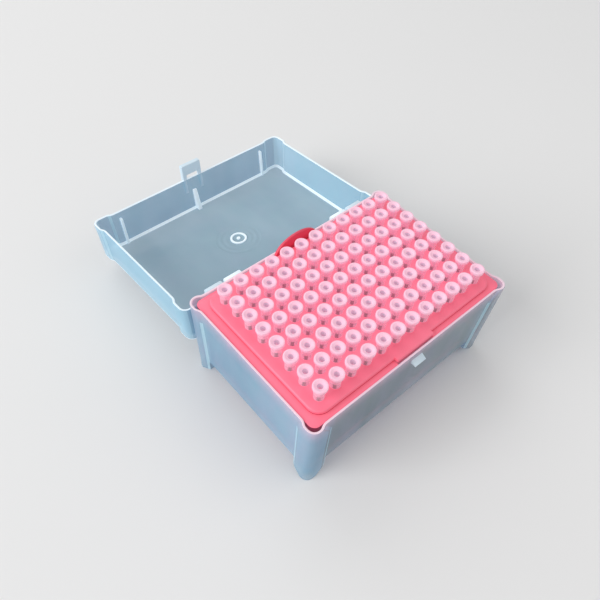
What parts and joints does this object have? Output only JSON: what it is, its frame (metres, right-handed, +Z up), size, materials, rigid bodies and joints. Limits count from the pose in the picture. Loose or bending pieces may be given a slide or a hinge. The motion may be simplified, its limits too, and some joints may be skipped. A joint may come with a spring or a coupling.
{
  "type": "box of pipette tips",
  "caption": "Hinged translucent lab box on four corner feet, its lid open, with a coral rack that holds a grid of pipette tips.",
  "frame": {"origin": "on the table, at the middle of the open box's outer length and width", "axes": "+X along a row of tips, +Y from the latch side of the tub towards the hinge and the open lid, +Z up"},
  "size_m": [0.1292, 0.1804, 0.0607],
  "materials": {
    "frosted_shell": "natural polypropylene, frosted and translucent",
    "coral_rack": "coral red moulded plastic, satin",
    "clear_tip": "natural polypropylene, thin and translucent"
  },
  "bodies": {
    "base": {"tub": "frosted_shell", "rack": "coral_rack", "tip_A01": "clear_tip", "tip_A02": "clear_tip", "tip_A03": "clear_tip", "tip_A04": "clear_tip", "tip_A05": "clear_tip", "tip_A06": "clear_tip", "tip_A07": "clear_tip", "tip_A08": "clear_tip", "tip_A09": "clear_tip", "tip_A10": "clear_tip", "tip_A11": "clear_tip", "tip_A12": "clear_tip", "tip_B01": "clear_tip", "tip_B02": "clear_tip", "tip_B03": "clear_tip", "tip_B04": "clear_tip", "tip_B05": "clear_tip", "tip_B06": "clear_tip", "tip_B07": "clear_tip", "tip_B08": "clear_tip", "tip_B09": "clear_tip", "tip_B10": "clear_tip", "tip_B11": "clear_tip", "tip_B12": "clear_tip", "tip_G01": "clear_tip", "tip_G02": "clear_tip", "tip_G03": "clear_tip", "tip_G04": "clear_tip", "tip_G05": "clear_tip", "tip_G06": "clear_tip", "tip_G07": "clear_tip", "tip_G08": "clear_tip", "tip_G09": "clear_tip", "tip_G10": "clear_tip", "tip_G11": "clear_tip", "tip_G12": "clear_tip", "tip_H01": "clear_tip", "tip_H02": "clear_tip", "tip_H03": "clear_tip", "tip_H04": "clear_tip", "tip_H05": "clear_tip", "tip_H06": "clear_tip", "tip_H07": "clear_tip", "tip_H08": "clear_tip", "tip_H09": "clear_tip", "tip_H10": "clear_tip", "tip_H11": "clear_tip", "tip_H12": "clear_tip"},
    "lid": {"lid": "frosted_shell"}
  },
  "joints": [
    {"name": "lid_hinge", "type": "hinge", "parent": "base", "child": "lid", "pos_m": [0, -0.00031, 0.044], "axis": [1, 0, 0], "range_deg": [0, 186.41]}
  ]
}
